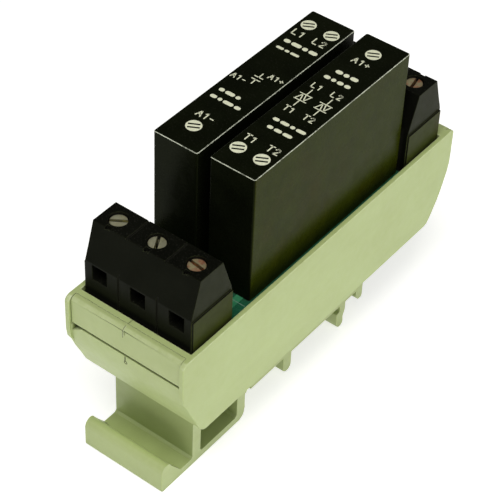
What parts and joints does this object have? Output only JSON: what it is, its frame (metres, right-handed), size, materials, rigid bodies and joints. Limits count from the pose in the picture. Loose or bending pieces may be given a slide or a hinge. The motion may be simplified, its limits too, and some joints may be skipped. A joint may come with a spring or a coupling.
{
  "type": "control relay",
  "caption": "Plug-together solid-state control relay: upright potted relay modules and screw terminal blocks on a board in a pale green trough with a spring latch for a mounting rail.",
  "frame": {"origin": "on the surface the relay stands on, under the middle of its overall box", "axes": "+X along the mounting rail, +Y along the trough from the latch end to the fixed hook end, +Z away from the rail"},
  "size_m": [0.031, 0.0964, 0.0706],
  "materials": {
    "carrier_green": "pale green moulded polyamide, fine satin grain",
    "foot_green": "pale green moulded polyamide, fine satin grain",
    "marker_green": "pale green moulded polyamide, smooth satin",
    "latch_green": "pale green moulded polyamide, rubbed on the lip",
    "spring_steel": "bright drawn spring wire",
    "board_green": "glass-epoxy laminate under green solder mask",
    "solder": "bright tin solder",
    "terminal_black": "black moulded polyamide, satin",
    "terminal_metal": "tinned brass",
    "screw_brass": "brass-plated steel, bright slot",
    "cage_steel": "nickel-plated pressed steel",
    "case_black": "black moulded case, semi-gloss, cream printing on top",
    "potting": "dark grey casting resin",
    "ceramic": "white alumina substrate",
    "spreader_alu": "milled aluminium",
    "silicon": "passivated silicon chips",
    "opto_white": "white moulded optocoupler body",
    "pin_metal": "tinned copper pins"
  },
  "bodies": {
    "carrier": {"carrier_trough": "carrier_green", "marker_strip_front": "marker_green", "marker_strip_rear": "marker_green", "rail_foot": "foot_green", "latch_guide_left": "foot_green", "latch_guide_right": "foot_green", "latch_spring": "spring_steel", "circuit_board": "board_green", "solder_joints": "solder", "terminal_block_front": "terminal_black", "terminal_block_rear": "terminal_black", "contact_bars_front": "terminal_metal", "contact_bars_rear": "terminal_metal", "module_a_case": "case_black", "module_a_potting": "potting", "module_a_substrate": "ceramic", "module_a_heat_spreader": "spreader_alu", "module_a_thyristors": "silicon", "module_a_optocoupler": "opto_white", "module_a_pins": "pin_metal", "module_b_case": "case_black", "module_b_potting": "potting", "module_b_substrate": "ceramic", "module_b_heat_spreader": "spreader_alu", "module_b_thyristors": "silicon", "module_b_optocoupler": "opto_white", "module_b_pins": "pin_metal"},
    "latch": {"rail_latch": "latch_green"},
    "screw_f1": {"terminal_screw_f1": "screw_brass"},
    "cage_f1": {"clamp_cage_f1": "cage_steel"},
    "screw_f2": {"terminal_screw_f2": "screw_brass"},
    "cage_f2": {"clamp_cage_f2": "cage_steel"},
    "screw_f3": {"terminal_screw_f3": "screw_brass"},
    "cage_f3": {"clamp_cage_f3": "cage_steel"},
    "screw_r1": {"terminal_screw_r1": "screw_brass"},
    "cage_r1": {"clamp_cage_r1": "cage_steel"},
    "screw_r2": {"terminal_screw_r2": "screw_brass"},
    "cage_r2": {"clamp_cage_r2": "cage_steel"},
    "screw_r3": {"terminal_screw_r3": "screw_brass"},
    "cage_r3": {"clamp_cage_r3": "cage_steel"}
  },
  "joints": [
    {"name": "latch_slide", "type": "slide", "parent": "carrier", "child": "latch", "axis": [0, -1, 0], "range_m": [0, 0.0026], "stiffness_N_per_m": 1000, "springref_m": -0.004, "deforming": ["latch_spring"]},
    {"name": "screw_turn_f1", "type": "hinge", "parent": "carrier", "child": "screw_f1", "pos_m": [-0.0099, -0.037, 0.0556], "axis": [0, 0, -1], "range_deg": [0, 2160]},
    {"name": "cage_lift_f1", "type": "slide", "parent": "carrier", "child": "cage_f1", "axis": [0, 0, 1], "range_m": [0, 0.003]},
    {"name": "screw_turn_f2", "type": "hinge", "parent": "carrier", "child": "screw_f2", "pos_m": [0, -0.037, 0.0556], "axis": [0, 0, -1], "range_deg": [0, 2160]},
    {"name": "cage_lift_f2", "type": "slide", "parent": "carrier", "child": "cage_f2", "axis": [0, 0, 1], "range_m": [0, 0.003]},
    {"name": "screw_turn_f3", "type": "hinge", "parent": "carrier", "child": "screw_f3", "pos_m": [0.0099, -0.037, 0.0556], "axis": [0, 0, -1], "range_deg": [0, 2160]},
    {"name": "cage_lift_f3", "type": "slide", "parent": "carrier", "child": "cage_f3", "axis": [0, 0, 1], "range_m": [0, 0.003]},
    {"name": "screw_turn_r1", "type": "hinge", "parent": "carrier", "child": "screw_r1", "pos_m": [0.0099, 0.0376, 0.0556], "axis": [0, 0, -1], "range_deg": [0, 2160]},
    {"name": "cage_lift_r1", "type": "slide", "parent": "carrier", "child": "cage_r1", "axis": [0, 0, 1], "range_m": [0, 0.003]},
    {"name": "screw_turn_r2", "type": "hinge", "parent": "carrier", "child": "screw_r2", "pos_m": [0, 0.0376, 0.0556], "axis": [0, 0, -1], "range_deg": [0, 2160]},
    {"name": "cage_lift_r2", "type": "slide", "parent": "carrier", "child": "cage_r2", "axis": [0, 0, 1], "range_m": [0, 0.003]},
    {"name": "screw_turn_r3", "type": "hinge", "parent": "carrier", "child": "screw_r3", "pos_m": [-0.0099, 0.0376, 0.0556], "axis": [0, 0, -1], "range_deg": [0, 2160]},
    {"name": "cage_lift_r3", "type": "slide", "parent": "carrier", "child": "cage_r3", "axis": [0, 0, 1], "range_m": [0, 0.003]}
  ],
  "couplings": [
    {"joint": "screw_turn_f1", "follows": "cage_lift_f1", "rad_per_m": 12566},
    {"joint": "screw_turn_f2", "follows": "cage_lift_f2", "rad_per_m": 12566},
    {"joint": "screw_turn_f3", "follows": "cage_lift_f3", "rad_per_m": 12566},
    {"joint": "screw_turn_r1", "follows": "cage_lift_r1", "rad_per_m": 12566},
    {"joint": "screw_turn_r2", "follows": "cage_lift_r2", "rad_per_m": 12566},
    {"joint": "screw_turn_r3", "follows": "cage_lift_r3", "rad_per_m": 12566}
  ]
}
